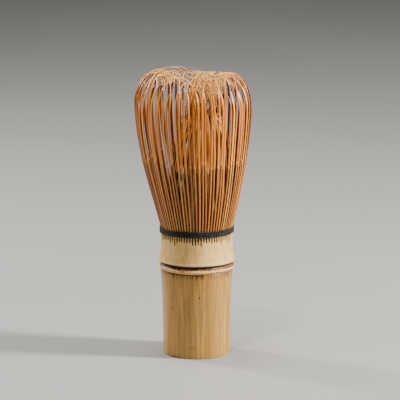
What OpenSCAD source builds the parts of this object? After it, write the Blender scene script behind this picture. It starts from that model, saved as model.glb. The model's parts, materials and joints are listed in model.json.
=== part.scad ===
// Bamboo tea whisk: one length of culm, hollow below its node, and split above it into an outer
// and an inner ring of springy tines, which black thread parts and binds.
// Millimetres, +Z up, origin at the centre of the foot.

/* [Handle] */
// Outer radius of the culm at the foot
foot_r = 13.5; // [12.9:0.1:13.6]
// Radius of the natural hollow inside the culm
hollow_r = 10; // [9:0.1:10.2]
// Height of the culm from the foot to the node
culm_h = 34.5; // [25:0.1:45]
// Bevel around the sawn foot
foot_bevel = 0.3; // [0.1:0.05:0.5]

/* [Node] */
// Radius of the ridge under the node's groove
ridge_r = 15; // [14.8:0.05:15.2]
// Radius of the shoulder over the node's groove
shoulder_r = 15.2; // [15:0.05:15.6]
// Height of the ridge
ridge_h = 2.6; // [2.4:0.1:3]
// Thickness of the wall that closes the culm at the node
wall_t = 2; // [1:0.1:2.2]

/* [Collar] */
// Height of the unsplit collar above the node
collar_h = 9.9; // [8:0.1:14]
// Height of the split roots above the collar
root_h = 4.8; // [4:0.1:6]
// Width of the saw-thin slit between two roots
slit_w = 0.2; // [0.1:0.05:0.3]

/* [Thread] */
// Thickness of the binding thread
thread_d = 0.6; // [0.5:0.02:0.66]
// Turns of thread around the outside of the roots
binding_turns = 4; // [1:1:4]

/* [Tines] */
// Tines in each of the sixteen splits, outside and inside alike
tines_per_split = 5; // [3:2:5]
// Angle between neighbouring tines of one split
tine_step = 4; // [3:0.1:4.2]
// Height of the tallest tines above the thread
tine_h = 62.4; // [56:0.1:66]
// Radius of the outer tines at their widest
belly_r = 22.9; // [20:0.1:24]
// Thickness of an outer tine at its root
outer_root_t = 0.9; // [0.6:0.05:1]
// Thickness of an inner tine at its root
inner_root_t = 0.7; // [0.5:0.05:0.8]
// How much lower every second split curls over, so that its tips pass under the others
layer_drop = 1.6; // [1.2:0.1:2]

/* [Hidden] */
$fn = 96;
split_count = 16;
split_angle = 360 / split_count;

// Heights of the joints between the sub-parts, from the foot up
node_z = culm_h;
collar_z = node_z + ridge_h;
root_z = collar_z + collar_h;
root_top_z = root_z + root_h;
hinge_gap = 0.2;
tine_z = root_top_z + hinge_gap;

// Radii of the culm: outside at its top, in the groove, at the waist and at the roots, then inside
culm_top_r = foot_r + 0.85;
groove_r = 14.7;
waist_r = 14;
collar_top_r = 14.15;
root_r = 14.35;
node_hollow_r = hollow_r + 0.3;
collar_hollow_r = 11.4;

// The slot between the outer and the inner roots, where the parting thread lies
parting_r = 12.8;
parting_w = 0.5;
parting_h = 2.2;
thread_play = 0.04;
knot_d = 1.3;

// Centre lines and sections of the tines
outer_tine_r = 13.85;
inner_tine_r = 11.95;
crown_r = 13.2;
tip_r = 5.8;
neck_r = 8.8;
inner_tip_r = 3.8;
tip_t = 0.28;
curve_steps = 6;
curl_steps = 4;
// Widths of a tine, as [radius from the axis, width]
outer_widths = [[4, 0.34], [14, 0.72], [24, 0.78]];
inner_widths = [[2, 0.26], [6, 0.34], [9, 0.44], [13, 0.52]];
// How much of its curl a tine has, from the middle of its split to the side
reaches = [1, 0.6, 0.25];

// The name of one split's outer or inner tines
function tine_node(ring, k) = str(ring, "_tines_", k < 9 ? "0" : "", k + 1);

// The point at t, from 0 to 1, of the cubic curve with the four corners p
function on_curve(p, t) =
    pow(1 - t, 3) * p[0] + 3 * t * pow(1 - t, 2) * p[1]
    + 3 * t * t * (1 - t) * p[2] + pow(t, 3) * p[3];

// Points along the curve as far as t = last, without its first one
function curve(p, steps, last = 1) = [for (i = [1 : steps]) on_curve(p, last * i / steps)];

// Unit normal of a line of points, at point i
function normal_at(line, i) =
    let (a = line[max(i - 1, 0)], b = line[min(i + 1, len(line) - 1)], d = b - a)
    [-d[1], d[0]] / norm(d);

// The outline of a strip that follows a line and thins from root_t to tip_t
function strip(line, root_t) =
    let (
        n = len(line) - 1,
        half = [for (i = [0 : n]) (root_t + (tip_t - root_t) * i / n) / 2])
    concat(
        [for (i = [0 : n]) line[i] + normal_at(line, i) * half[i]],
        [for (i = [n : -1 : 0]) line[i] - normal_at(line, i) * half[i]]);

// Centre line of an outer tine, as [radius, height]: it flares, stands upright and curls over.
// drop lowers the curl, and reach says how much of it there is past the crown.
function outer_line(drop, reach) =
    let (
        root = [outer_tine_r, tine_z],
        belly = [belly_r, tine_z + tine_h * 0.75],
        crown = [crown_r, tine_z + tine_h - drop],
        tip = [tip_r, crown[1] - 4])
    concat(
        [root],
        curve([root, root + [4.4, 16], belly - [0.9, 14], belly], curve_steps),
        curve([belly, belly + [0.4, 8 - drop], crown + [6.3, 0], crown], curve_steps),
        curve([crown, crown - [3, 0], tip + [1.8, 2.6], tip], curl_steps, reach));

// Centre line of an inner tine: it leans in to the bundle at the middle and hooks over
function inner_line(reach) =
    let (
        root = [inner_tine_r, tine_z],
        neck = [neck_r, tine_z + tine_h * 0.7],
        tip = [inner_tip_r, tine_z + tine_h - 6.6])
    concat(
        [root],
        curve([root, root + [-0.3, 14], neck + [0.9, -13], neck], curve_steps),
        curve([neck, neck + [-0.5, 7], tip + [2.8, -0.6], tip], curl_steps, reach));

// A tine: the strip along its centre line, cut to its widths
module tine(line, root_t, widths) {
    last = len(widths) - 1;
    intersection() {
        rotate([90, 0, 0])
            linear_extrude(2, center = true) polygon(strip(line, root_t));
        linear_extrude(tine_z + tine_h * 2)
            polygon(concat(
                [for (w = widths) [w[0], w[1] / 2]],
                [for (i = [last : -1 : 0]) [widths[i][0], -widths[i][1] / 2]]));
    }
}

// Children at each place in a split; $aside is how many tines they are from its middle
module each_tine() {
    half = (tines_per_split - 1) / 2;
    for (i = [-half : half]) rotate(i * tine_step) {
        $aside = abs(i);
        children();
    }
}

module outer_tines(k) {
    drop = k % 2 == 0 ? 0 : layer_drop;
    color("peru") rotate(k * split_angle) each_tine()
        tine(outer_line(drop, reaches[$aside]), outer_root_t, outer_widths);
}

module inner_tines(k) {
    color("sandybrown") rotate((k + 0.5) * split_angle) each_tine()
        tine(inner_line(reaches[$aside]), inner_root_t, inner_widths);
}

module handle_culm() {
    top = [culm_top_r, culm_h];
    foot = [foot_r, foot_bevel];
    color("burlywood") rotate_extrude() polygon(concat(
        [[hollow_r, culm_h], [hollow_r, 0], [foot_r - foot_bevel, 0], foot],
        curve([foot, [foot_r, culm_h * 0.4], [foot_r + 0.1, culm_h * 0.8], top], 8)));
}

module node_ridge() {
    low = [culm_top_r, node_z];
    high = [groove_r, collar_z];
    bulge = (ridge_r - culm_top_r) * 1.5;
    color("tan") rotate_extrude() polygon(concat(
        [[node_hollow_r, collar_z], [node_hollow_r, node_z], low],
        curve([low, low + [bulge, 0.6], [ridge_r + 0.1, collar_z - 0.8], high], 8)));
}

// The natural wall that closes the culm at its node
module node_diaphragm() {
    color("wheat") translate([0, 0, collar_z - wall_t]) cylinder(r = node_hollow_r, h = wall_t);
}

module collar() {
    lip = [shoulder_r, collar_z + 1.3];
    waist = [waist_r, collar_z + 6.7];
    top = [collar_top_r, root_z];
    color("blanchedalmond") rotate_extrude() polygon(concat(
        [[collar_hollow_r, root_z], [node_hollow_r, collar_z], [groove_r, collar_z], lip],
        curve([lip, lip + [-0.5, 1.6], waist - [0, 2.4], waist], 6),
        curve([waist, waist + [0, 1.2], top - [0.1, 1.2], top], 3)));
}

// The split end of the culm: a ring of roots, slit from the outside to the inside
module root_comb() {
    slits = split_count * tines_per_split;
    slit_z = root_z + 0.6;
    color("wheat") difference() {
        rotate_extrude() polygon([
            [collar_hollow_r, root_z], [collar_top_r, root_z],
            [root_r, root_top_z], [collar_hollow_r, root_top_z]]);
        translate([0, 0, root_top_z - parting_h]) difference() {
            cylinder(r = parting_r + parting_w / 2, h = parting_h + 1);
            translate([0, 0, -1]) cylinder(r = parting_r - parting_w / 2, h = parting_h + 3);
        }
        for (i = [0 : slits - 1]) rotate((i + 0.5) * 360 / slits)
            translate([collar_hollow_r - 1, -slit_w / 2, slit_z])
                cube([root_r - collar_hollow_r + 2, slit_w, root_h]);
    }
}

// A ring of thread around the axis, with its middle at z
module thread_ring(r, z, d) {
    translate([0, 0, z]) rotate_extrude() translate([r, 0]) circle(d = d, $fn = 32);
}

// The thread between the outer and the inner roots, which parts them
module parting_thread() {
    d = parting_w - thread_play;
    color("dimgray") thread_ring(parting_r, root_top_z - d, d);
}

// The turns around the outside of the roots, one above another
module binding_thread() {
    top_z = root_top_z - thread_d * 0.55;
    color("black") for (i = [0 : binding_turns - 1])
        thread_ring(root_r + thread_d / 2 + thread_play, top_z - i * (thread_d + thread_play), thread_d);
}

// The knot that ends the binding, on the back of the whisk
module binding_knot() {
    color("black") translate([0, root_r + thread_d + 0.1 + knot_d / 2, root_top_z - 0.9])
        sphere(d = knot_d, $fn = 32);
}

handle_culm();
node_ridge();
node_diaphragm();
collar();
root_comb();
parting_thread();
binding_thread();
binding_knot();
for (k = [0 : split_count - 1]) {
    outer_tines(k);
    inner_tines(k);
}
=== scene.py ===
"""A bamboo tea whisk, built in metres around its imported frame: the turned handle and collar,
the split tines, inner and outer, and the black thread that binds them."""

import json
import math

import bmesh
import bpy
import numpy as np
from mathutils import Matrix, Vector, kdtree


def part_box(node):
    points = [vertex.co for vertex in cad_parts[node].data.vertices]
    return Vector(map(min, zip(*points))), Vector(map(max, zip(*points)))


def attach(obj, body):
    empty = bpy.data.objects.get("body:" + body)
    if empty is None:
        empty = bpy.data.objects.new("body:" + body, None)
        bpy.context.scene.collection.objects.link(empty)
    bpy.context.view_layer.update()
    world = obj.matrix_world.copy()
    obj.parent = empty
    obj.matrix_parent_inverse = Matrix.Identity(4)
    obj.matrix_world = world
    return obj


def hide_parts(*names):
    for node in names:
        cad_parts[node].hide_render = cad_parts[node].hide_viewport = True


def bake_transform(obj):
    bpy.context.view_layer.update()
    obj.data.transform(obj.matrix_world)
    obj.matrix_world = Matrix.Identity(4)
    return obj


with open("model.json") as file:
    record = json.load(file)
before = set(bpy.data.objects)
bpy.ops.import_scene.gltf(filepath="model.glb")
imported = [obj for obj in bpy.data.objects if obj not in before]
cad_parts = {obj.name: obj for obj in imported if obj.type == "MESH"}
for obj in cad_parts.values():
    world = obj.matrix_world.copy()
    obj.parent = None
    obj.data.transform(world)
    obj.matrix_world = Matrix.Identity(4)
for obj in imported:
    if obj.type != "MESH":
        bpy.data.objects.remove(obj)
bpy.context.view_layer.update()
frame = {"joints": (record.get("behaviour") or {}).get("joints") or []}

MM = 0.001
UP = np.array([0.0, 0.0, 1.0])

# Heights and radii that the frame gives
NODE_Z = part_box("node_ridge")[0].z
COLLAR_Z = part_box("collar")[0].z
ROOT_TOP_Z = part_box("root_comb")[1].z
ROOT_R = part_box("root_comb")[1].x
SHOULDER_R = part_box("collar")[1].x
RIDGE_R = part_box("node_ridge")[1].x
CULM_TOP_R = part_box("handle_culm")[1].x
HOLLOW_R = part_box("node_diaphragm")[1].x
WALL_TOP_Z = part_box("node_diaphragm")[1].z
PARTING_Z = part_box("parting_thread")[0].z
KNOT_LOW, KNOT_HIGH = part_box("binding_knot")
BAND_LOW, BAND_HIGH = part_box("binding_thread")
CROWN_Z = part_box("outer_tines_01")[1].z
BELLY_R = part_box("outer_tines_01")[1].x

# The culm narrows a little towards its foot, its groove lies in from the ridge, and the collar
# is thinned from inside towards the roots
FOOT_R = CULM_TOP_R - 0.85 * MM
GROOVE_R = RIDGE_R - 0.95 * MM
ROOT_INNER_R = HOLLOW_R + 1.4 * MM

# The whisk is split in sixteen, and each split in five, outside and inside
SPLITS = 16
TINES_PER_SPLIT = 5
TINES = SPLITS * TINES_PER_SPLIT
INNER_BODIES = 8
POINTS_PER_SLIT = 8

# A tine starts a little below the root line, and its bend is spread over this much height
TINE_POINTS = 120
TINE_FOOT_Z = ROOT_TOP_Z - 1.6 * MM

# Shares of a tine's own length: where it is shaved thin, where it has swayed to its full, and
# where it begins to curl off its plane and ends doing so
SHAVED_FROM = 0.39
SWAYED_AT = 0.5
CURL_FROM, CURL_TO = 0.7, 0.8

# The visible tines lean to the left and the tuft to the right, in millimetres, over this
# stretch of height
LEAN_FROM, LEAN_OVER = 52, 45
OUTER_LEAN, INNER_LEAN = -1.5, 2.6

# Seeds for the tines' paths and for their widths and tints
PATH_SEED = 21
TINT_SEED = 8

# A ply's thickness over its distance from the middle of its thread, so that the plies meet
PLY_FULLNESS = 1.08


# ---------------------------------------------------------------- node trees


class Wire:
    """What comes out of a node. Arithmetic on wires adds Math nodes to their net."""

    def __init__(self, net, socket):
        self.net = net
        self.socket = socket

    def __add__(self, other):
        return self.net.math("ADD", self, other)

    def __sub__(self, other):
        return self.net.math("SUBTRACT", self, other)

    def __rsub__(self, other):
        return self.net.math("SUBTRACT", other, self)

    def __mul__(self, other):
        return self.net.math("MULTIPLY", self, other)

    def __truediv__(self, other):
        return self.net.math("DIVIDE", self, other)

    def __rtruediv__(self, other):
        return self.net.math("DIVIDE", other, self)

    def __pow__(self, other):
        return self.net.math("POWER", self, other)

    def __neg__(self):
        return self.net.math("MULTIPLY", self, -1.0)

    def __abs__(self):
        return self.net.math("ABSOLUTE", self)

    __radd__ = __add__
    __rmul__ = __mul__

    def other(self, name):
        """Another output of the same node."""
        return Wire(self.net, self.socket.node.outputs[name])

    def within(self, low, high):
        """Nothing below low, all above high, and smooth between them; high may be the lower."""
        settings = {"interpolation_type": "SMOOTHSTEP"}
        if isinstance(low, Wire) or isinstance(high, Wire) or low <= high:
            values = {"Value": self, "From Min": low, "From Max": high}
            return self.net.node("ShaderNodeMapRange", settings, values)
        return 1 - self.within(high, low)


class Net:
    """A node tree while it is wired."""

    def __init__(self, tree):
        self.tree = tree

    def node(self, kind, settings=None, values=None, out=0):
        """Adds a node: its settings first, then its sockets' values or wires. Gives one output."""
        node = self.tree.nodes.new(kind)
        for name, setting in (settings or {}).items():
            if name == "stops":
                self.set_stops(node.color_ramp, setting)
            else:
                setattr(node, name, setting)
        for name, value in (values or {}).items():
            if isinstance(value, Wire):
                self.tree.links.new(value.socket, node.inputs[name])
            else:
                node.inputs[name].default_value = value
        return Wire(self, node.outputs[out])

    @staticmethod
    def set_stops(ramp, stops):
        """Gives a colour ramp its stops, as (place, colour) pairs."""
        while len(ramp.elements) < len(stops):
            ramp.elements.new(1.0)
        for element, (place, colour) in zip(ramp.elements, stops):
            element.position = place
            element.color = colour

    def math(self, operation, *values):
        return self.node("ShaderNodeMath", {"operation": operation}, dict(enumerate(values)))

    def vector(self, operation, *values, out=0):
        settings = {"operation": operation}
        return self.node("ShaderNodeVectorMath", settings, dict(enumerate(values)), out)

    def scaled(self, vector, factor):
        values = {0: vector, "Scale": factor}
        return self.node("ShaderNodeVectorMath", {"operation": "SCALE"}, values)

    def parts(self, vector):
        """The x, y and z of a vector."""
        x = self.node("ShaderNodeSeparateXYZ", values={0: vector})
        return x, x.other("Y"), x.other("Z")

    def joined(self, x, y, z):
        return self.node("ShaderNodeCombineXYZ", values={"X": x, "Y": y, "Z": z})

    def mix(self, factor, first, second):
        """Two colours mixed: the first where the factor is 0, the second where it is 1."""
        settings = {"data_type": "RGBA", "blend_type": "MIX", "clamp_factor": True}
        return self.node("ShaderNodeMix", settings, {0: factor, 6: first, 7: second}, 2)

    def noise(self, vector, scale, detail=2.0, roughness=0.5, distortion=0.0):
        values = {"Vector": vector, "Scale": scale, "Detail": detail,
                  "Roughness": roughness, "Distortion": distortion}
        return self.node("ShaderNodeTexNoise", {"normalize": True}, values)


# ---------------------------------------------------------------- geometry trees


class MakingTree(Net):
    """A Geometry Nodes tree with named inputs, which turns a guide mesh into a finished piece."""

    KINDS = {int: "NodeSocketInt", float: "NodeSocketFloat"}

    def __init__(self, name, sizes):
        super().__init__(bpy.data.node_groups.new(name, "GeometryNodeTree"))
        face = self.tree.interface
        face.new_socket("Guide", in_out="INPUT", socket_type="NodeSocketGeometry")
        face.new_socket("Finish", in_out="INPUT", socket_type="NodeSocketMaterial")
        face.new_socket("Piece", in_out="OUTPUT", socket_type="NodeSocketGeometry")
        for size, usual in sizes.items():
            made = face.new_socket(size, in_out="INPUT", socket_type=self.KINDS[type(usual)])
            made.default_value = usual
        self.inputs = self.tree.nodes.new("NodeGroupInput")

    def given(self, name):
        return Wire(self, self.inputs.outputs[name])

    def attribute(self, name, kind="FLOAT"):
        return self.node("GeometryNodeInputNamedAttribute", {"data_type": kind}, {"Name": name})

    def store(self, geometry, name, value, kind="FLOAT"):
        settings = {"data_type": kind, "domain": "POINT"}
        values = {"Geometry": geometry, "Name": name, "Value": value}
        return self.node("GeometryNodeStoreNamedAttribute", settings, values)

    def finish(self, geometry):
        """Ends the tree: smooth shading, real geometry and its material."""
        smooth = self.node("GeometryNodeSetShadeSmooth", values={"Geometry": geometry})
        real = self.node("GeometryNodeRealizeInstances", values={"Geometry": smooth})
        dressed = self.node("GeometryNodeSetMaterial",
                            values={"Geometry": real, "Material": self.given("Finish")})
        end = self.tree.nodes.new("NodeGroupOutput")
        self.tree.links.new(dressed.socket, end.inputs["Piece"])
        return self.tree

    def place(self):
        return self.node("GeometryNodeInputPosition")


def strip_tree():
    """Flat strips along guide lines that carry their own width, thickness and face direction."""
    net = MakingTree("split_bamboo_strips", {"Sides": 8, "Squareness": 1.2})
    lines = net.node("GeometryNodeMeshToCurve", values={"Mesh": net.given("Guide")})
    lines = net.store(lines, "centre", net.place(), "FLOAT_VECTOR")
    ring = net.node("GeometryNodeCurvePrimitiveCircle",
                    values={"Resolution": net.given("Sides"), "Radius": 1.0})
    x, y, _ = net.parts(net.place())
    squareness = net.given("Squareness")
    across = net.math("MAXIMUM", net.math("MINIMUM", x * squareness, 1.0), -1.0)
    through = net.math("MAXIMUM", net.math("MINIMUM", y * squareness, 1.0), -1.0)
    ring = net.store(ring, "section", net.joined(across, through, 0.0), "FLOAT_VECTOR")
    swept = net.node("GeometryNodeCurveToMesh",
                     values={"Curve": lines, "Profile Curve": ring, "Fill Caps": True})
    across, through, _ = net.parts(net.attribute("section", "FLOAT_VECTOR"))
    sideways = net.scaled(net.attribute("side", "FLOAT_VECTOR"),
                          across * net.attribute("width") * 0.5)
    outwards = net.scaled(net.attribute("face", "FLOAT_VECTOR"),
                          through * net.attribute("thickness") * 0.5)
    corner = net.vector("ADD", net.attribute("centre", "FLOAT_VECTOR"),
                        net.vector("ADD", sideways, outwards))
    piece = net.node("GeometryNodeSetPosition", values={"Geometry": swept, "Position": corner})
    for spent in ("centre", "side", "face", "width", "thickness"):
        piece = net.node("GeometryNodeRemoveAttribute", values={"Geometry": piece, "Name": spent})
    return net.finish(piece)


def thread_tree():
    """A thread of several plies laid round each other along a guide line."""
    net = MakingTree("laid_thread", {
        "Plies": 3, "Ply radius": 0.15 * MM, "Lay": 1.0 * MM, "Sides": 7})
    line = net.node("GeometryNodeMeshToCurve", values={"Mesh": net.given("Guide")})
    plies = net.node("GeometryNodeDuplicateElements", {"domain": "SPLINE"},
                     {"Geometry": line, "Amount": net.given("Plies")})
    run = net.node("GeometryNodeSplineParameter").other("Length")
    turn = (run / net.given("Lay") + plies.other("Duplicate Index") / net.given("Plies")) * math.tau
    normal = net.node("GeometryNodeInputNormal")
    beside = net.vector("CROSS_PRODUCT", net.node("GeometryNodeInputTangent"), normal)
    radius = net.given("Ply radius")
    offset = net.vector("ADD",
                        net.scaled(normal, net.math("COSINE", turn) * radius),
                        net.scaled(beside, net.math("SINE", turn) * radius))
    plies = net.node("GeometryNodeSetPosition", values={"Geometry": plies, "Offset": offset})
    ring = net.node("GeometryNodeCurvePrimitiveCircle",
                    values={"Resolution": net.given("Sides"), "Radius": radius * PLY_FULLNESS})
    swept = net.node("GeometryNodeCurveToMesh",
                     values={"Curve": plies, "Profile Curve": ring, "Fill Caps": True})
    return net.finish(swept)


def culm_tree():
    """A length of culm turned from its outline, with raised fibres, slits, waves, lumps and a
    chip out of its rim."""
    net = MakingTree("turned_culm", {
        "Around": 640, "Fibre height": 0.02 * MM, "Fibre pitch": 1.0 * MM,
        "Out of round": 0.004, "Slits": TINES, "Slit depth": 0.0, "Slit foot": 0.0,
        "Slit spread": 1.0 * MM, "Lump height": 0.0, "Lump size": 1.0 * MM,
        "Wave": 0.0, "Chip depth": 0.0})
    outline = net.given("Guide")
    rows = net.node("GeometryNodeAttributeDomainSize", values={"Geometry": outline})
    around = net.given("Around")
    grid = net.node("GeometryNodeMeshGrid", values={
        "Size X": 1.0, "Size Y": 1.0, "Vertices X": around + 1, "Vertices Y": rows})
    x, y, _ = net.parts(net.place())
    turn = (x + 0.5) * math.tau
    row = net.math("ROUND", (y + 0.5) * (rows - 1))
    spot = net.node("GeometryNodeSampleIndex", {"data_type": "FLOAT_VECTOR", "domain": "POINT"},
                    {"Geometry": outline, "Value": net.place(), "Index": row})
    radius, _, height = net.parts(spot)
    cosine, sine = net.math("COSINE", turn), net.math("SINE", turn)

    # Fibres are noise drawn out fifty times along the culm; lumps are as tall as they are wide
    drawn = net.joined(cosine * radius, sine * radius, height * 0.02)
    fibre = net.noise(drawn, 1.0 / net.given("Fibre pitch"), 3.0) - 0.5
    lump = net.noise(net.joined(cosine * radius, sine * radius, height),
                     1.0 / net.given("Lump size"), 2.0) - 0.5
    oval = net.math("COSINE", turn * 2 + 0.6) * net.given("Out of round") * radius

    # Each slit has its own foot, above which it grows to its full depth
    slit_run = 1.6 * MM
    slit = turn / math.tau * net.given("Slits")
    number = net.math("FLOOR", slit)
    off_centre = abs(slit - number - 0.5)
    luck = net.node("ShaderNodeTexWhiteNoise", {"noise_dimensions": "1D"}, {"W": number + 0.37})
    foot = net.given("Slit foot") - luck ** 3.0 * net.given("Slit spread")
    opening = ((height - foot) / slit_run).within(0.0, 1.0)
    width = 1 - (off_centre * POINTS_PER_SLIT).within(0.6, 2.2)
    cut = width * opening * net.given("Slit depth")

    wave = (net.noise(net.joined(cosine, sine, 0.0), 1.3, 1.0) - 0.5) * net.given("Wave")
    radius = radius + fibre * net.given("Fibre height") + lump * net.given("Lump height")
    radius = radius + oval - cut
    turned = net.joined(cosine * radius, sine * radius, height + wave)

    # A chip out of the sawn rim, at the front left
    chip = net.joined(-9.0 * MM, -9.8 * MM, 0.0)
    near = net.vector("DISTANCE", turned, chip, out="Value")
    lift = (1 - near.within(0.15 * MM, 1.1 * MM)) * net.given("Chip depth")
    turned = net.vector("ADD", turned, net.joined(0.0, 0.0, lift))

    shaped = net.node("GeometryNodeSetPosition", values={"Geometry": grid, "Position": turned})
    closed = net.node("GeometryNodeMergeByDistance", values={"Geometry": shaped, "Distance": 1e-7})
    return net.finish(closed)


def guide_mesh(name, points, edges, **attributes):
    """Points and edges with their own numbers or vectors, for a making tree to work on."""
    mesh = bpy.data.meshes.new(name)
    mesh.from_pydata(np.asarray(points).tolist(), edges, [])
    for key, values in attributes.items():
        values = np.asarray(values, float)
        if values.ndim == 2:
            layer = mesh.attributes.new(key, "FLOAT_VECTOR", "POINT")
            layer.data.foreach_set("vector", values.ravel())
        else:
            layer = mesh.attributes.new(key, "FLOAT", "POINT")
            layer.data.foreach_set("value", values)
    return mesh


def make(name, mesh, tree, finish, sizes=None):
    """The plain object that a tree makes of a guide mesh, with its faces outwards."""
    guide = bpy.data.objects.new(name + "_guide", mesh)
    bpy.context.scene.collection.objects.link(guide)
    maker = guide.modifiers.new("maker", "NODES")
    maker.node_group = tree
    chosen = {"Finish": finish, **(sizes or {})}
    for item in tree.interface.items_tree:
        if item.in_out == "INPUT" and item.name in chosen:
            maker[item.identifier] = chosen[item.name]
    graph = bpy.context.evaluated_depsgraph_get()
    made = bpy.data.meshes.new_from_object(
        guide.evaluated_get(graph), preserve_all_data_layers=True, depsgraph=graph)
    bpy.data.objects.remove(guide)
    bpy.data.meshes.remove(mesh)
    shell = bmesh.new()
    shell.from_mesh(made)
    bmesh.ops.recalc_face_normals(shell, faces=shell.faces)
    shell.to_mesh(made)
    shell.free()
    made.name = name
    piece = bpy.data.objects.new(name, made)
    bpy.context.scene.collection.objects.link(piece)
    return piece


# ---------------------------------------------------------------- finishes


# Small marks on the front of the handle: place, radius, height over width, strength
FOOT_MARKS = [
    (Vector((1.1, -13.6, 25.2)) * MM, 0.42 * MM, 2.0, 0.95),
    (Vector((-3.5, -13.1, 18.6)) * MM, 0.34 * MM, 2.2, 0.5),
    (Vector((-2.6, -13.3, 17.3)) * MM, 0.30 * MM, 2.2, 0.5),
    (Vector((-9.6, -9.6, 20.2)) * MM, 0.36 * MM, 2.6, 0.6),
    (Vector((-1.8, -13.4, 4.5)) * MM, 2.2 * MM, 0.22, 0.32),
    (Vector((8.6, -10.4, 7.2)) * MM, 0.8 * MM, 0.5, 0.4),
]


def srgb(red, green, blue):
    """A colour, given as it is seen on a screen from 0 to 255, in the light's own scale."""
    scale = [c / 255 for c in (red, green, blue)]
    return (*[c / 12.92 if c <= 0.04045 else ((c + 0.055) / 1.055) ** 2.4 for c in scale], 1.0)


class Finish(Net):
    """A material: a Principled surface whose colour, roughness and bump come from nodes."""

    def __init__(self, name, **constants):
        self.material = bpy.data.materials.new(name)
        self.material.use_nodes = True
        super().__init__(self.material.node_tree)
        self.tree.nodes.clear()
        self.surface = self.tree.nodes.new("ShaderNodeBsdfPrincipled")
        end = self.tree.nodes.new("ShaderNodeOutputMaterial")
        self.tree.links.new(self.surface.outputs[0], end.inputs["Surface"])
        for socket, value in constants.items():
            self.surface.inputs[socket.replace("_", " ")].default_value = value

    def object_place(self):
        return self.node("ShaderNodeTexCoord", out="Object")

    def attribute(self, name, out="Fac"):
        return self.node("ShaderNodeAttribute", {"attribute_name": name}, out=out)

    def lay_on(self, colour, roughness, height=None, bump=0.5, depth=0.1 * MM):
        """Feeds the surface, with a bump from a height between 0 and 1 if there is one."""
        self.tree.links.new(colour.socket, self.surface.inputs["Base Color"])
        self.tree.links.new(roughness.socket, self.surface.inputs["Roughness"])
        if height is not None:
            values = {"Strength": bump, "Distance": depth, "Height": height}
            normal = self.node("ShaderNodeBump", values=values)
            self.tree.links.new(normal.socket, self.surface.inputs["Normal"])
        return self.material


def upright_grain(net, place, pitch, stretch, detail=3.0):
    """Noise drawn out along the culm: pitch across the grain, and stretch times that along it."""
    drawn = net.vector("MULTIPLY", place, (1.0, 1.0, 1.0 / stretch))
    return net.noise(drawn, 1.0 / pitch, detail, 0.6)


def mark(net, place, spot, size, tall):
    """A soft round or tall mark at a spot on the front of the culm, 1 at its middle."""
    away = net.vector("SUBTRACT", place, spot)
    away = net.vector("MULTIPLY", away, (1.0, 0.25, 1.0 / tall))
    return 1 - net.vector("LENGTH", away, out="Value").within(0.35 * size, size)


def culm_skin():
    """The satin skin of the culm, its sawn foot and the pale hollow inside."""
    net = Finish("culm_skin", Coat_Weight=0.05, Coat_Roughness=0.2, Specular_IOR_Level=0.3)
    place = net.object_place()
    x, y, z = net.parts(place)
    radius = net.math("SQRT", x * x + y * y)

    broad = upright_grain(net, place, 5.0 * MM, 14.0, 2.0)
    fine = upright_grain(net, place, 0.55 * MM, 60.0)
    hair = upright_grain(net, place, 0.16 * MM, 90.0, 1.0)
    streak = upright_grain(net, place, 1.1 * MM, 40.0, 2.0)
    colour = net.mix(broad.within(0.35, 0.68), srgb(184, 138, 66), srgb(162, 119, 52))
    colour = net.mix(streak.within(0.5, 0.7) * 0.5, colour, srgb(140, 96, 40))
    colour = net.mix(streak.within(0.48, 0.32) * 0.35, colour, srgb(216, 174, 100))
    colour = net.mix(fine.within(0.42, 0.7) * 0.6, colour, srgb(146, 100, 42))
    colour = net.mix(hair.within(0.55, 0.75) * 0.25, colour, srgb(226, 182, 112))

    # Under the node the skin is darker, painted shade below the ridge, with short brown lines that
    # run down from it
    under = z.within(NODE_Z - 7.0 * MM, NODE_Z - 0.5 * MM)
    colour = net.mix(under * 0.4, colour, srgb(152, 106, 46))
    teeth = upright_grain(net, place, 0.42 * MM, 30.0, 1.0).within(0.44, 0.58)
    teeth = teeth * z.within(NODE_Z - 2.6 * MM, NODE_Z - 0.6 * MM)
    colour = net.mix(teeth * 0.85, colour, srgb(70, 38, 14))

    blotch = net.noise(place, 1.0 / (9.0 * MM), 3.0).within(0.55, 0.8)
    colour = net.mix(blotch * 0.3, colour, srgb(176, 118, 56))
    specks = net.node("ShaderNodeTexVoronoi", {"feature": "F1"},
                      {"Vector": net.vector("MULTIPLY", place, (1.0, 1.0, 0.6)), "Scale": 260.0})
    sparse = net.noise(place, 1.0 / (4.0 * MM), 1.0).within(0.6, 0.66)
    colour = net.mix((1 - specks.within(0.03, 0.09)) * sparse * 0.7, colour, srgb(96, 62, 30))
    for spot, size, tall, strength in FOOT_MARKS:
        colour = net.mix(mark(net, place, spot, size, tall) * strength, colour, srgb(70, 42, 20))

    # The sawn foot shows the ends of the dark fibre bundles, larger towards the skin
    at_foot = z.within(0.28 * MM, 0.12 * MM)
    ends = net.node("ShaderNodeTexVoronoi", {"feature": "F1"}, {"Vector": place, "Scale": 1500.0})
    crowd = radius.within(HOLLOW_R, FOOT_R)
    dots = 1 - ends.within(crowd * 0.2 + 0.14, crowd * 0.28 + 0.26)
    sawn = net.mix(dots * 0.8, srgb(222, 190, 136), srgb(126, 84, 40))
    colour = net.mix(at_foot, colour, sawn)
    inside = radius.within(HOLLOW_R + 0.9 * MM, HOLLOW_R + 0.5 * MM)
    lining = net.mix(fine.within(0.3, 0.7), srgb(232, 208, 160), srgb(206, 172, 116))
    colour = net.mix(inside, colour, lining)

    rough = fine * 0.16 + 0.27 + (inside + at_foot) * 0.35
    return net.lay_on(colour, rough, fine * 0.6 + hair * 0.4, 0.35, 0.05 * MM)


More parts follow.
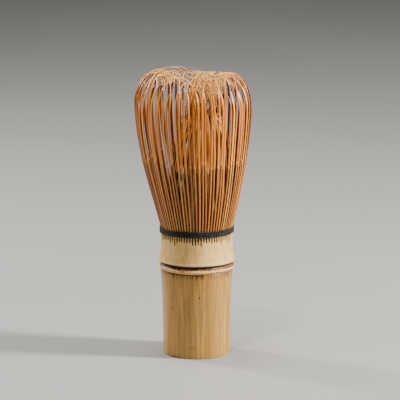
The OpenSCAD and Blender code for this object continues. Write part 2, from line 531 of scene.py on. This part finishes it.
def collar_skin():
    """The paler skin above the node, freckled low down, with a painted highlight along its lip and
    painted shade in its slits and under its lip.
    """
    net = Finish("collar_skin", Coat_Weight=0.05, Coat_Roughness=0.3, Specular_IOR_Level=0.3)
    place = net.object_place()
    x, y, z = net.parts(place)
    radius = net.math("SQRT", x * x + y * y)
    fine = upright_grain(net, place, 0.5 * MM, 50.0)
    hair = upright_grain(net, place, 0.16 * MM, 70.0, 1.0)
    broad = upright_grain(net, place, 4.0 * MM, 6.0, 2.0)
    streak = upright_grain(net, place, 1.0 * MM, 24.0, 2.0)
    colour = net.mix(broad.within(0.35, 0.7), srgb(226, 186, 114), srgb(208, 164, 90))
    colour = net.mix(streak.within(0.5, 0.72) * 0.45, colour, srgb(172, 122, 60))
    colour = net.mix(fine.within(0.45, 0.72) * 0.55, colour, srgb(168, 112, 52))
    colour = net.mix(hair.within(0.55, 0.75) * 0.3, colour, srgb(238, 206, 148))
    freckle = net.noise(net.vector("MULTIPLY", place, (1.0, 1.0, 0.5)), 1.0 / (0.7 * MM), 2.0)
    low = z.within(COLLAR_Z + 5.5 * MM, COLLAR_Z + 2.0 * MM)
    colour = net.mix(freckle.within(0.56, 0.72) * low * 0.5, colour, srgb(186, 122, 58))
    # Painted highlight: a pale band just above the lip
    lip = z.within(COLLAR_Z + 2.4 * MM, COLLAR_Z + 1.5 * MM)
    colour = net.mix(lip * 0.6, colour, srgb(238, 204, 148))
    # Painted shade in the undercut under the lip, which is also made rougher
    under_lip_shade = z.within(COLLAR_Z + 1.15 * MM, COLLAR_Z + 0.75 * MM)
    colour = net.mix(under_lip_shade, colour, srgb(50, 24, 8))
    # Painted shade darkens the slits inside, where they leave the skin's own radius
    slit_shade = radius.within(ROOT_R - 0.16 * MM, ROOT_R - 0.32 * MM)
    above = z.within(COLLAR_Z + 2.0 * MM, COLLAR_Z + 6.0 * MM)
    colour = net.mix(slit_shade * above * 0.92, colour, srgb(52, 26, 8))
    rough = fine * 0.2 + 0.34 + under_lip_shade * 0.3
    return net.lay_on(colour, rough, fine * 0.6 + hair * 0.4, 0.4, 0.05 * MM)


def node_scar():
    """The orange ridge of the node, blotched with brown, with painted shade, in patches, above and
    below its crest.
    """
    net = Finish("node_scar", Specular_IOR_Level=0.4)
    place = net.object_place()
    z = net.parts(place)[2]
    fleck = net.noise(place, 1.0 / (0.6 * MM), 3.0)
    patch = net.noise(place, 1.0 / (3.5 * MM), 2.0)
    colour = net.mix(fleck.within(0.4, 0.7), srgb(238, 184, 110), srgb(204, 140, 74))
    colour = net.mix(patch.within(0.52, 0.72) * 0.5, colour, srgb(160, 94, 40))
    # Painted shade, in patches, in the groove above the crest and on the ridge's underside
    crest = NODE_Z + 1.25 * MM
    ridge_shade = net.math("MAXIMUM", z.within(crest + 0.15 * MM, crest + 0.8 * MM),
                    z.within(NODE_Z + 0.45 * MM, NODE_Z + 0.1 * MM))
    shade_patches = net.noise(place, 1.0 / (1.6 * MM), 3.0).within(0.3, 0.7) * 0.35 + 0.65
    colour = net.mix(ridge_shade * shade_patches, colour, srgb(44, 20, 6))
    return net.lay_on(colour, fleck * 0.25 + 0.45, fleck, 0.6, 0.12 * MM)


def inner_wall():
    """The papery natural wall that closes the culm at its node."""
    net = Finish("inner_wall", Specular_IOR_Level=0.25)
    place = net.object_place()
    wrinkle = net.noise(place, 1.0 / (1.8 * MM), 4.0, 0.6, 0.6)
    colour = net.mix(wrinkle.within(0.35, 0.7), srgb(226, 198, 146), srgb(178, 136, 84))
    return net.lay_on(colour, wrinkle * 0.1 + 0.7, wrinkle, 0.8, 0.3 * MM)


def tine_finish(name, bottom, top, edge, shade):
    """Shaved bamboo: skin up to each tine's own shaving line, then warmer wood to the tip, with
    painted shade on the flanks and inward faces and painted light on the tips.
    """
    net = Finish(name, Specular_IOR_Level=0.5)
    along = net.attribute("along")
    tint = net.attribute("tint")
    shaved = net.attribute("shaved")
    section = net.attribute("section", "Vector")
    across, through, _ = net.parts(section)
    grain = net.noise(net.joined(across * 1.2 + tint * 40, through + tint * 17, along * 5.0),
                      1.6, 3.0, 0.6)
    colour = net.mix(shaved, bottom, top)
    colour = net.mix((tint - 0.5) * 1.1, colour, edge)
    colour = net.mix(0.5 - tint, colour, shade)
    colour = net.mix(grain.within(0.45, 0.75) * 0.4, colour, shade)
    # Painted shade on each strip's sides, where the tines shade each other
    flank_shade = (abs(across) - through).within(-0.05, 0.25)
    colour = net.mix(flank_shade * 0.92, colour, shade)
    bevel = shaved * (1 - shaved) * 4
    colour = net.mix(bevel * 0.4, colour, edge)
    # Painted shade on each strip's inward face, less of it towards the tip
    back = (-through).within(0.0, 0.6)
    colour = net.mix(back * (0.8 - 0.3 * along), colour, shade)
    # Painted light: the tips are paler, as where the crown and tuft are lit from above
    tip = along.within(0.8, 0.94)
    colour = net.mix(tip * (tint * 0.6 + 0.4), colour, edge)
    return net.lay_on(colour, grain * 0.12 + 0.24, grain, 0.12, 0.05 * MM)


def thread_finish():
    """Matt black cotton, fuzzy, with pale specks painted on as highlights."""
    net = Finish("black_thread", Specular_IOR_Level=0.25, Sheen_Weight=0.12, Sheen_Roughness=0.5)
    place = net.object_place()
    fuzz_and_glint = net.noise(place, 1.0 / (0.24 * MM), 3.0)
    # The pale specks are painted highlights on the cotton's fibres; the same noise roughens and
    # bumps it
    colour = net.mix(fuzz_and_glint.within(0.52, 0.7), srgb(4, 4, 4), srgb(74, 76, 72))
    return net.lay_on(colour, fuzz_and_glint * 0.2 + 0.65, fuzz_and_glint, 0.6, 0.06 * MM)


def floor_finish():
    """The pale studio floor."""
    net = Finish("pale_floor", Specular_IOR_Level=0.3)
    soft = net.noise(net.object_place(), 6.0, 2.0)
    colour = net.mix(soft, srgb(140, 139, 137), srgb(146, 145, 143))
    return net.lay_on(colour, soft * 0.1 + 0.5)


# ---------------------------------------------------------------- the culm


def smooth_line(points, per_span):
    """A smooth curve through points, as radius and height, by Catmull and Rom's rule."""
    points = np.asarray(points, float)
    ends = np.vstack([2 * points[0] - points[1], points, 2 * points[-1] - points[-2]])
    line = []
    for a, b, c, d in zip(ends, ends[1:], ends[2:], ends[3:]):
        for t in np.arange(per_span) / per_span:
            line.append(0.5 * (2 * b + (c - a) * t + (2 * a - 5 * b + 4 * c - d) * t * t
                               + (3 * b - a - 3 * c + d) * t ** 3))
    return [*line, points[-1]]


def straight(start, end, count):
    """Points from start up to end, without end."""
    start, end = np.asarray(start, float), np.asarray(end, float)
    return [start + (end - start) * i / count for i in range(count)]


def turned(name, outline, finish, **sizes):
    """A closed piece of the culm, turned from its outline of (radius, height) in millimetres."""
    points = np.array([[r, 0.0, z] for r, z in outline]) * MM
    points = np.vstack([points, points[:1]])
    edges = [(i, i + 1) for i in range(len(points) - 1)]
    sizes = {key.replace("_", " "): value for key, value in sizes.items()}
    return make(name, guide_mesh(name, points, edges), TREES["culm"], finish, sizes)


def in_mm(length):
    """A length of the frame in millimetres."""
    return length / MM


def make_handle():
    """The hollow handle below the node, open at its sawn foot."""
    foot, top, hollow, high = map(in_mm, (FOOT_R, CULM_TOP_R, HOLLOW_R, NODE_Z))
    skin = smooth_line([(foot, 0.45), (foot, 9.0), (foot + 0.15, 18.0), (foot + 0.45, 26.0),
                        (top - 0.12, 31.0), (top, high)], 8)
    outline = [*straight((top, high), (hollow, high), 6),
               *straight((hollow, high), (hollow, 0.3), 24),
               (hollow + 0.08, 0.08),
               *straight((hollow + 0.3, 0.0), (foot - 0.3, 0.0), 10),
               (foot - 0.3, 0.0), (foot - 0.09, 0.1), (foot, 0.28), *skin[:-1]]
    piece = turned("handle", outline, culm_skin(), Around=360, Fibre_height=0.05 * MM,
                   Fibre_pitch=0.9 * MM, Chip_depth=0.45 * MM)
    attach(piece, "handle")
    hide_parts("handle_culm")


def make_node():
    """The ridge of the node and the dark groove above it."""
    low, high, crest = in_mm(NODE_Z), in_mm(COLLAR_Z), in_mm(RIDGE_R)
    top, hollow, groove = in_mm(CULM_TOP_R), in_mm(HOLLOW_R), in_mm(GROOVE_R)
    ridge = smooth_line([(top - 0.1, low), (top + 0.08, low + 0.35), (crest - 0.1, low + 0.85),
                         (crest, low + 1.25), (crest - 0.22, low + 1.75),
                         (groove + 0.2, low + 2.15), (groove, high)], 5)
    outline = [*straight((groove, high), (hollow, high), 5),
               *straight((hollow, high), (hollow, low), 4),
               *straight((hollow, low), (top - 0.1, low), 5), *ridge[:-1]]
    piece = turned("node_ridge_scar", outline, node_scar(), Around=540, Fibre_height=0.05 * MM,
                   Lump_height=0.24 * MM, Lump_size=1.5 * MM, Wave=0.5 * MM)
    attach(piece, "handle")
    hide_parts("node_ridge")


def make_node_wall():
    """The wall inside the node, domed a little towards the foot."""
    low, high, edge = in_mm(NODE_Z), in_mm(WALL_TOP_Z), in_mm(HOLLOW_R) - 0.02
    under = [(edge * s, low - 0.5 * (1 - s ** 4)) for s in np.linspace(0.0, 1.0, 22)]
    over = [(edge * s, high - 0.3 * (1 - s ** 3)) for s in np.linspace(1.0, 0.0, 18)]
    piece = turned("node_wall", [*under, *over], inner_wall(), Around=120,
                   Fibre_height=0.0, Lump_height=0.0, Wave=0.15 * MM)
    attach(piece, "handle")
    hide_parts("node_diaphragm")


def make_collar():
    """The flared collar above the node, slit at its top between the roots of the tines."""
    low, lip = in_mm(COLLAR_Z), in_mm(SHOULDER_R)
    root, hollow, groove = in_mm(ROOT_R), in_mm(HOLLOW_R), in_mm(GROOVE_R)
    inner, top = in_mm(ROOT_INNER_R), in_mm(TINE_FOOT_Z) + 0.6
    under = smooth_line([(groove, low), (groove + 0.15, low + 0.45), (lip - 0.25, low + 0.95),
                         (lip, low + 1.35)], 4)
    flare = smooth_line([(lip, low + 1.35), (lip - 0.12, low + 2.0), (lip - 0.5, low + 3.6),
                         (lip - 0.82, low + 5.4), (lip - 0.95, low + 7.2),
                         (root - 0.1, low + 10.0)], 8)
    outline = [*straight((root, top), (inner, top), 6),
               *straight((inner, top), (hollow, low), 16),
               *straight((hollow, low), (groove, low), 6),
               *under[:-1], *flare[:-1],
               *straight((root - 0.1, low + 10.0), (root, top), 14)]
    piece = turned("collar_and_roots", outline, collar_skin(), Around=TINES * POINTS_PER_SLIT,
                   Fibre_height=0.06 * MM, Fibre_pitch=0.9 * MM, Slit_depth=1.5 * MM,
                   Slit_foot=BAND_LOW.z - 2.0 * MM, Slit_spread=2.0 * MM, Wave=0.45 * MM)
    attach(piece, "handle")
    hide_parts("collar", "root_comb")


# ---------------------------------------------------------------- the tines


def bezier(corners, count):
    """A cubic curve from its four corners, without its last point."""
    a, b, c, d = [np.asarray(p, float) for p in corners]
    t = (np.arange(count) / count)[:, None]
    return (1 - t) ** 3 * a + 3 * t * (1 - t) ** 2 * b + 3 * t * t * (1 - t) * c + t ** 3 * d


def evenly(line, count):
    """A line resampled at even steps along its length."""
    steps = np.linalg.norm(np.diff(line, axis=0), axis=1)
    run = np.concatenate([[0.0], np.cumsum(steps)])
    wanted = np.linspace(0.0, run[-1], count)
    return np.stack([np.interp(wanted, run, line[:, i]) for i in range(line.shape[1])], 1)


def ease(t):
    """0 to 1, slow at both ends."""
    t = np.clip(t, 0.0, 1.0)
    return t * t * (3 - 2 * t)


def outer_plane(luck, turn, layer):
    """One outer tine in its own plane, as radius and height in millimetres. The crown stands
    highest on the left of the whisk, and a little lower at its back. A tine of layer 1 curls
    over a little higher than one of layer 0."""
    root_z, root_r = in_mm(TINE_FOOT_Z), in_mm(ROOT_R) - 0.5
    # It is widest at its belly and highest at its crown, then reaches in to its tip
    belly = np.array([in_mm(BELLY_R) - 0.4 + luck.normal(0, 0.2), in_mm(CROWN_Z) - 15.3])
    belly += (0.0, luck.normal(0, 0.7))
    left, back = -math.cos(turn), math.sin(turn)
    over = luck.uniform(11.5 - 2.5 * max(left, 0.0), 15.8)
    high = in_mm(CROWN_Z) - 1.5 + (15.5 - over) * 0.14 * (1 + left) - abs(luck.normal(0, 0.9))
    crown = np.array([over, high + 0.3 * abs(left) - 1.1 * max(back, 0.0) + 0.5 * layer])
    swell = 0.52 + 0.06 * left
    reach = min(luck.uniform(3.5, 8.5), over - 1.5)
    tip = crown - (reach, luck.uniform(1.5, 4.5))
    low = (root_r + 0.12, root_z + 1.3)
    return evenly(np.vstack([
        straight((root_r, root_z), low, 3),
        bezier([low, (low[0] + 4.1, low[1] + 15.0), (belly[0] - 0.5, belly[1] - 14.5), belly], 40),
        bezier([belly, belly + (0.15, 8.6), crown + ((belly[0] - over) * swell, 0.0), crown], 30),
        bezier([crown, crown - (reach * 0.45, 0.0), tip + (reach * 0.25, 2.0), tip], 14),
        [tip]]), TINE_POINTS)


def inner_plane(luck, heart):
    """One inner tine in its own plane: it leans in to the bundle at the middle. The tines of the
    heart go all the way in and open outwards at their tips; the others hook over towards it."""
    root_z, root_r = in_mm(TINE_FOOT_Z), in_mm(ROOT_INNER_R) + 0.55
    crown_z = in_mm(CROWN_Z)
    low = (root_r, root_z + 1.3)
    waist = np.array([luck.uniform(9.0, 11.4), crown_z - luck.uniform(31.0, 37.0)])
    if heart:
        top = np.array([luck.uniform(0.4, 2.4), crown_z - luck.uniform(1.2, 8.2)])
        tip = top + (luck.uniform(0.9, 2.8), luck.uniform(-1.8, 0.8))
        bow = np.array([(0.2, 1.0), (-0.3, 1.3)])
    else:
        top = np.array([luck.uniform(2.8, 6.4), crown_z - luck.uniform(3.5, 10.0)])
        tip = top - (luck.uniform(1.6, 3.4), luck.uniform(-0.9, 2.2))
        bow = np.array([(-0.4, 1.2), (0.5, 0.9)])
    lean = (waist - top) * (0.36, 0.4)
    climb = bezier([waist, waist - (0.5, -9.0), top + lean, top], 44)
    hook = bezier([top, top + bow[0], tip + bow[1], tip], 14)
    rise = bezier([low, (root_r - 0.3, low[1] + 8.0), waist - (-0.5, 8.0), waist], 30)
    return evenly(np.vstack([straight((root_r, root_z), low, 3), rise, climb, hook, [tip]]),
                  TINE_POINTS)


def stand_up(plane, turn, heading, sway):
    """A tine's plane line stood at its angle round the whisk, and the way its flat side lies.
    Sway carries it sideways on its way up, and where it curls it veers off by the heading."""
    out = np.array([math.cos(turn), math.sin(turn), 0.0])
    side = np.array([-math.sin(turn), math.cos(turn), 0.0])
    along = np.linspace(0.0, 1.0, len(plane))
    veer = (heading * ease((along - CURL_FROM) / (CURL_TO - CURL_FROM)))[:, None]
    step = np.diff(plane, axis=0)
    heading_way = np.cos(veer[1:]) * out + np.sin(veer[1:]) * side
    moves = step[:, :1] * heading_way + step[:, 1:] * UP
    start = plane[0, 0] * out + plane[0, 1] * UP
    path = np.vstack([start, start + np.cumsum(moves, axis=0)])
    bend = ease(along / SWAYED_AT)[:, None] * sway
    return path + bend * side, np.cos(veer) * side - np.sin(veer) * out


def push_apart(paths, gap, first, passes):
    """Moves tines that come nearer than the gap away from each other, past their first points,
    and smooths how far they moved."""
    count, length = paths.shape[:2]
    start = paths
    paths = paths.copy()
    # A push is shared with the points next to it, and comes in over the first points that move
    softness = np.array([0.05, 0.12, 0.2, 0.26, 0.2, 0.12, 0.05])
    come_in, boost = 12, 1.6
    for _ in range(passes):
        spots = paths[:, first:].reshape(-1, 3)
        owner = np.repeat(np.arange(count), length - first)
        tree = kdtree.KDTree(len(spots))
        for i, spot in enumerate(spots):
            tree.insert(spot, i)
        tree.balance()
        push = np.zeros_like(spots)
        for i, spot in enumerate(spots):
            for other, j, distance in tree.find_range(spot, gap):
                if owner[j] != owner[i] and distance > 1e-9:
                    push[i] += (spot - np.array(other)) / distance * (gap - distance) * 0.5
        push = push.reshape(count, length - first, 3)
        spread = np.stack([
            np.stack([np.convolve(row[:, axis], softness, "same") for axis in range(3)], 1)
            for row in push])
        spread *= ease(np.arange(length - first) / come_in)[None, :, None]
        paths[:, first:] += spread * boost
        if np.abs(push).max() < gap * 0.05:
            break
    reach = 9
    window = np.hanning(2 * reach + 1) / np.hanning(2 * reach + 1).sum()
    moved = [[np.convolve(np.pad(row[:, axis], reach, "edge"), window, "valid")
              for axis in range(3)]
             for row in paths - start]
    return start + np.moveaxis(np.array(moved), 1, 2)


def split_tines():
    """Paths and flat-side directions of every tine, outer ones first, in metres."""
    luck = np.random.RandomState(PATH_SEED)
    paths, sides = [], []
    pitch = math.tau / TINES
    for number in range(TINES):
        turn = (number - (TINES_PER_SPLIT - 1) / 2) * pitch
        pair = 0.35 * math.sin(number * 2.4)
        layer = number % 2
        heading = math.radians((2 * layer - 1) * luck.normal(24, 7))
        path, side = stand_up(outer_plane(luck, turn, layer), turn, heading,
                              luck.normal(pair, 0.2))
        paths.append(path)
        sides.append(side)
    for number in range(TINES):
        turn = (number - (TINES_PER_SPLIT - 1) / 2 + 2.5) * pitch
        heading = math.radians(luck.normal(0, 55))
        path, side = stand_up(inner_plane(luck, number % 2 == 0), turn, heading,
                              luck.normal(0.2, 0.12))
        paths.append(path)
        sides.append(side)
    paths = np.array(paths)
    lean = ease((paths[..., 2] - LEAN_FROM) / LEAN_OVER)
    paths[:TINES, :, 0] += lean[:TINES] * OUTER_LEAN
    paths[TINES:, :, 0] += lean[TINES:] * INNER_LEAN
    paths = push_apart(paths, gap=0.55, first=62, passes=10)
    return paths * MM, np.array(sides)


def unit(vectors):
    """Each vector at a length of 1."""
    return vectors / np.linalg.norm(vectors, axis=-1, keepdims=True)


def tine_guides(name, paths, sides, widths, depths, luck):
    """A guide mesh of several tines, with what the strip tree and the finish need. Widths and
    depths are given at the stops, which are shares of a tine's length."""
    rows = {key: [] for key in ("side", "face", "width", "thickness", "along", "tint", "shaved")}
    along = np.linspace(0.0, 1.0, TINE_POINTS)
    stops = [0.0, 0.28, 0.4, 0.6, 0.7, 0.84, 1.0]
    edges = []
    for number, (path, side) in enumerate(zip(paths, sides)):
        ahead = unit(np.gradient(path, axis=0))
        side = unit(side - (side * ahead).sum(1)[:, None] * ahead)
        face = np.cross(side, ahead)
        # It twists a little on its way up, and past its shaving line it is wider and thinner
        twist = (luck.normal(0, 0.30) * ease((along - 0.25) / 0.5))[:, None]
        side, face = (np.cos(twist) * side + np.sin(twist) * face,
                      np.cos(twist) * face - np.sin(twist) * side)
        line = luck.normal(SHAVED_FROM, 0.009)
        cut = ease((along - line) / 0.018)
        rows["side"].append(side)
        rows["face"].append(face)
        width = np.interp(along, stops, widths) * luck.uniform(0.92, 1.08) * MM
        rows["width"].append(width * (1 + 0.16 * cut))
        rows["thickness"].append(np.interp(along, stops, depths) * MM * (1 - 0.34 * cut))
        rows["along"].append(along)
        rows["tint"].append(np.full(TINE_POINTS, luck.uniform(0.0, 1.0)))
        rows["shaved"].append(cut)
        first = number * TINE_POINTS
        edges += [(first + i, first + i + 1) for i in range(TINE_POINTS - 1)]
    columns = {key: np.concatenate(values) for key, values in rows.items()}
    return guide_mesh(name, paths.reshape(-1, 3), edges, **columns)


def make_tines():
    """Every group of tines, each one piece that stands for its nodes."""
    paths, sides = split_tines()
    luck = np.random.RandomState(TINT_SEED)
    outer_finish = tine_finish("outer_tine_bamboo", srgb(198, 122, 44), srgb(222, 128, 32),
                               srgb(252, 182, 84), srgb(100, 44, 6))
    # The inner tines' dark lower colour is painted shade, where the outer tines shade them
    inner_finish = tine_finish("inner_tine_bamboo", srgb(122, 66, 22), srgb(216, 126, 40),
                               srgb(255, 196, 100), srgb(90, 40, 6))
    # Widths and thicknesses in millimetres, at the stops of tine_guides
    wide = [0.66, 0.68, 0.78, 0.9, 0.84, 0.46, 0.24]
    thick = [0.9, 0.86, 0.78, 0.5, 0.42, 0.3, 0.22]
    inner_wide = [0.86, 0.96, 0.94, 0.8, 0.68, 0.42, 0.24]
    inner_thick = [0.7, 0.6, 0.56, 0.46, 0.38, 0.28, 0.2]
    for split in range(SPLITS):
        mine = slice(split * TINES_PER_SPLIT, (split + 1) * TINES_PER_SPLIT)
        name = f"outer_tines_{split + 1:02d}"
        guides = tine_guides(name, paths[mine], sides[mine], wide, thick, luck)
        piece = make(name + "_shaved", guides, TREES["strip"], outer_finish)
        bend(piece, f"outer_split_{split + 1:02d}", name)
    per_body = TINES // INNER_BODIES
    for group in range(INNER_BODIES):
        mine = slice(TINES + group * per_body, TINES + (group + 1) * per_body)
        nodes = [f"inner_tines_{2 * group + i:02d}" for i in (1, 2)]
        guides = tine_guides(nodes[0], paths[mine], sides[mine], inner_wide, inner_thick, luck)
        piece = make(f"inner_tines_shaved_{group + 1}", guides, TREES["strip"], inner_finish)
        bend(piece, f"inner_split_{group + 1}", *nodes)


def bend(piece, body, *nodes):
    """The piece stands for nodes, which are hidden, with its transform baked in; its body's joint
    is only looked up.
    """
    joint = next(j for j in frame["joints"] if j["child"] == body)
    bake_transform(piece)
    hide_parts(*nodes)


# ---------------------------------------------------------------- the thread


def ring_points(radius, low, turns, rise, start):
    """A thread's path round the whisk: so many turns, rising so much in each."""
    step = 0.11 * MM
    steps = int(turns * math.tau * radius / step)
    turn = np.linspace(0.0, turns * math.tau, steps)
    waver = 0.05 * MM * np.sin(turn * 5.3) + 0.03 * MM * np.sin(turn * 23.0)
    height = low + rise * turn / math.tau + waver
    return np.stack([radius * np.cos(turn + start), radius * np.sin(turn + start), height], 1)


def make_thread_piece(name, points, node, **sizes):
    """A stretch of thread laid along its points, in place of its node."""
    edges = [(i, i + 1) for i in range(len(points) - 1)]
    sizes = {key.replace("_", " "): value for key, value in sizes.items()}
    piece = make(name, guide_mesh(name, points, edges), TREES["thread"], BLACK_THREAD, sizes)
    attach(piece, "handle")
    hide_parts(node)


def make_threads():
    """The thread: once between outer and inner roots, then round the outside to its knot."""
    slack = 0.03 * MM
    thick = BAND_HIGH.x - ROOT_R - slack
    ply = thick / (2 * (1 + PLY_FULLNESS))
    rows = 4
    rise = (BAND_HIGH.z - BAND_LOW.z - thick) / (rows - 1)
    back = math.pi / 2
    # The winding ends just short of a whole turn, under the knot
    last = 0.98
    binding = ring_points(ROOT_R + thick / 2 + slack, BAND_LOW.z + thick / 2,
                          rows - 1 + last, rise * last, back)
    make_thread_piece("binding_turns", binding, "binding_thread", Ply_radius=ply, Lay=1.5 * MM)
    parting_r = (ROOT_R + ROOT_INNER_R) / 2
    parting = ring_points(parting_r, PARTING_Z + 0.5 * MM, 1.0, 0.0, back)
    make_thread_piece("parting_turn", parting, "parting_thread", Ply_radius=0.1 * MM, Lay=1.2 * MM)

    # The knot is an overhand one, with its two ends cut short
    middle = (KNOT_LOW + KNOT_HIGH) / 2
    t = np.linspace(0.35, math.tau - 0.35, 160)
    knot = np.stack([(np.sin(t) + 2 * np.sin(2 * t)) * 0.30,
                     np.sin(3 * t) * -0.22,
                     (np.cos(t) - 2 * np.cos(2 * t)) * 0.30], 1) * MM + np.array(middle)
    make_thread_piece("knot", knot, "binding_knot", Ply_radius=ply * 0.8, Lay=1.2 * MM)


# ---------------------------------------------------------------- the studio


def area_light(name, place, aim, size, power, colour=(1.0, 1.0, 1.0)):
    """A soft rectangular light that faces a point."""
    lamp = bpy.data.lights.new(name, "AREA")
    lamp.shape = "RECTANGLE"
    lamp.size, lamp.size_y = size
    lamp.energy = power
    lamp.color = colour
    light = bpy.data.objects.new(name, lamp)
    light.location = place
    light.rotation_euler = (Vector(aim) - Vector(place)).to_track_quat("-Z", "Y").to_euler()
    bpy.context.scene.collection.objects.link(light)


def make_studio():
    """A pale floor that curves up behind, soft lights and the camera."""
    front, flat_to, bend_r, wall, half_width = -3.0, 1.5, 0.8, 2.5, 3.0
    line = [(front, 0.0), (flat_to, 0.0)]
    line += [(flat_to + bend_r * math.sin(a), bend_r * (1 - math.cos(a)))
             for a in np.linspace(0.1, math.pi / 2, 12)]
    line += [(flat_to + bend_r, wall)]
    points = [(x, y, z) for y, z in line for x in (-half_width, half_width)]
    faces = [(2 * i, 2 * i + 1, 2 * i + 3, 2 * i + 2) for i in range(len(line) - 1)]
    mesh = bpy.data.meshes.new("floor")
    mesh.from_pydata(points, [], faces)
    mesh.materials.append(floor_finish())
    mesh.shade_smooth()
    floor = bpy.data.objects.new("floor", mesh)
    bpy.context.scene.collection.objects.link(floor)

    world = bpy.data.worlds.new("studio")
    world.use_nodes = True
    sky = world.node_tree.nodes["Background"].inputs
    sky["Color"].default_value = (1.0, 0.99, 0.97, 1.0)
    sky["Strength"].default_value = 0.04
    bpy.context.scene.world = world

    aim = (0.0, 0.0, 0.06)
    warm = (1.0, 0.97, 0.92)
    area_light("key", (0.64, -0.12, 0.46), aim, (0.10, 0.2), 19.0, warm)
    area_light("left_rim", (-0.50, 0.34, 0.44), aim, (0.10, 0.2), 6.0, warm)
    area_light("top", (-0.06, 0.02, 0.80), aim, (0.12, 0.12), 3.5)
    area_light("over_front", (-0.12, -0.36, 0.80), aim, (0.08, 0.08), 4.0)
    area_light("backdrop", (0.0, 1.1, 1.2), (0.0, 0.8, 0.0), (1.6, 0.6), 6.0)

    camera = bpy.data.cameras.new("camera")
    camera.lens, camera.sensor_width = 229.0, 36.0
    view = bpy.data.objects.new("camera", camera)
    away, tilt = 1.018, math.radians(10.7)
    target = Vector((1.3, 0.0, 62.3)) * MM
    view.location = target + Vector((0.0, -math.cos(tilt), math.sin(tilt))) * away
    view.rotation_euler = (math.pi / 2 - tilt, 0.0, 0.0)
    bpy.context.scene.collection.objects.link(view)
    bpy.context.scene.camera = view


TREES = {"strip": strip_tree(), "thread": thread_tree(), "culm": culm_tree()}
BLACK_THREAD = thread_finish()

make_studio()
make_handle()
make_node()
make_node_wall()
make_collar()
make_tines()
make_threads()
